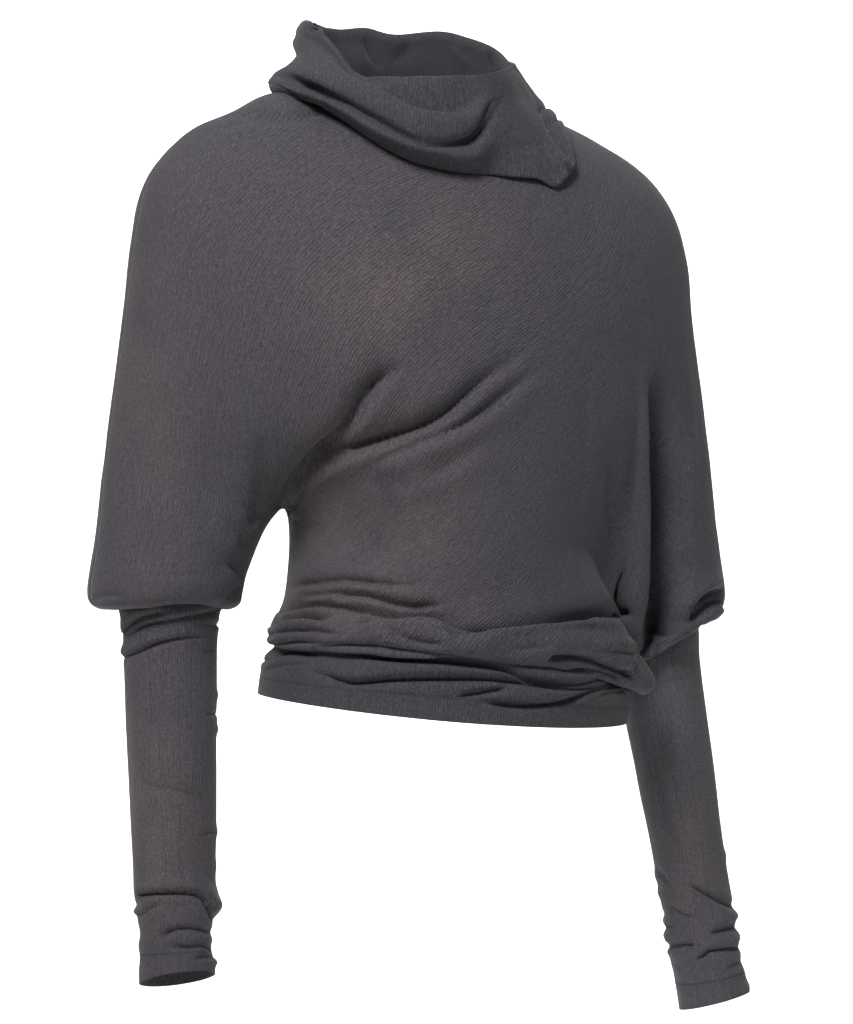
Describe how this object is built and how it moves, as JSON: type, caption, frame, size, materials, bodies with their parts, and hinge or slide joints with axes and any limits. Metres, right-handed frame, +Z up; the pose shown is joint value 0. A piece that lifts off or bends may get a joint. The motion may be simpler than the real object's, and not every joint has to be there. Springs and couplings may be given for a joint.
{
  "type": "long-sleeve top",
  "caption": "Draped batwing top in fine crinkled rib jersey, worn and hollow, with a folded cowl collar, long tight lower sleeves and a bloused waistband.",
  "frame": {"origin": "midway between the wearer's shoulders at the base of the neck, where the wearer holds the top up", "axes": "+Z up, +X towards the wearer's left, -Y towards the front"},
  "size_m": [0.5383, 0.2445, 0.7741],
  "materials": {
    "front_bodice": "matt crinkled rib jersey",
    "back_bodice": "matt crinkled rib jersey",
    "lower_sleeve_right": "matt crinkled rib jersey",
    "lower_sleeve_left": "matt crinkled rib jersey",
    "cowl_collar": "matt crinkled rib jersey, doubled",
    "waistband": "matt crinkled rib jersey"
  },
  "bodies": {
    "root": {"front_bodice": "front_bodice", "back_bodice": "back_bodice", "lower_sleeve_right": "lower_sleeve_right", "lower_sleeve_left": "lower_sleeve_left", "cowl_collar": "cowl_collar", "waistband": "waistband"}
  },
  "joints": []
}
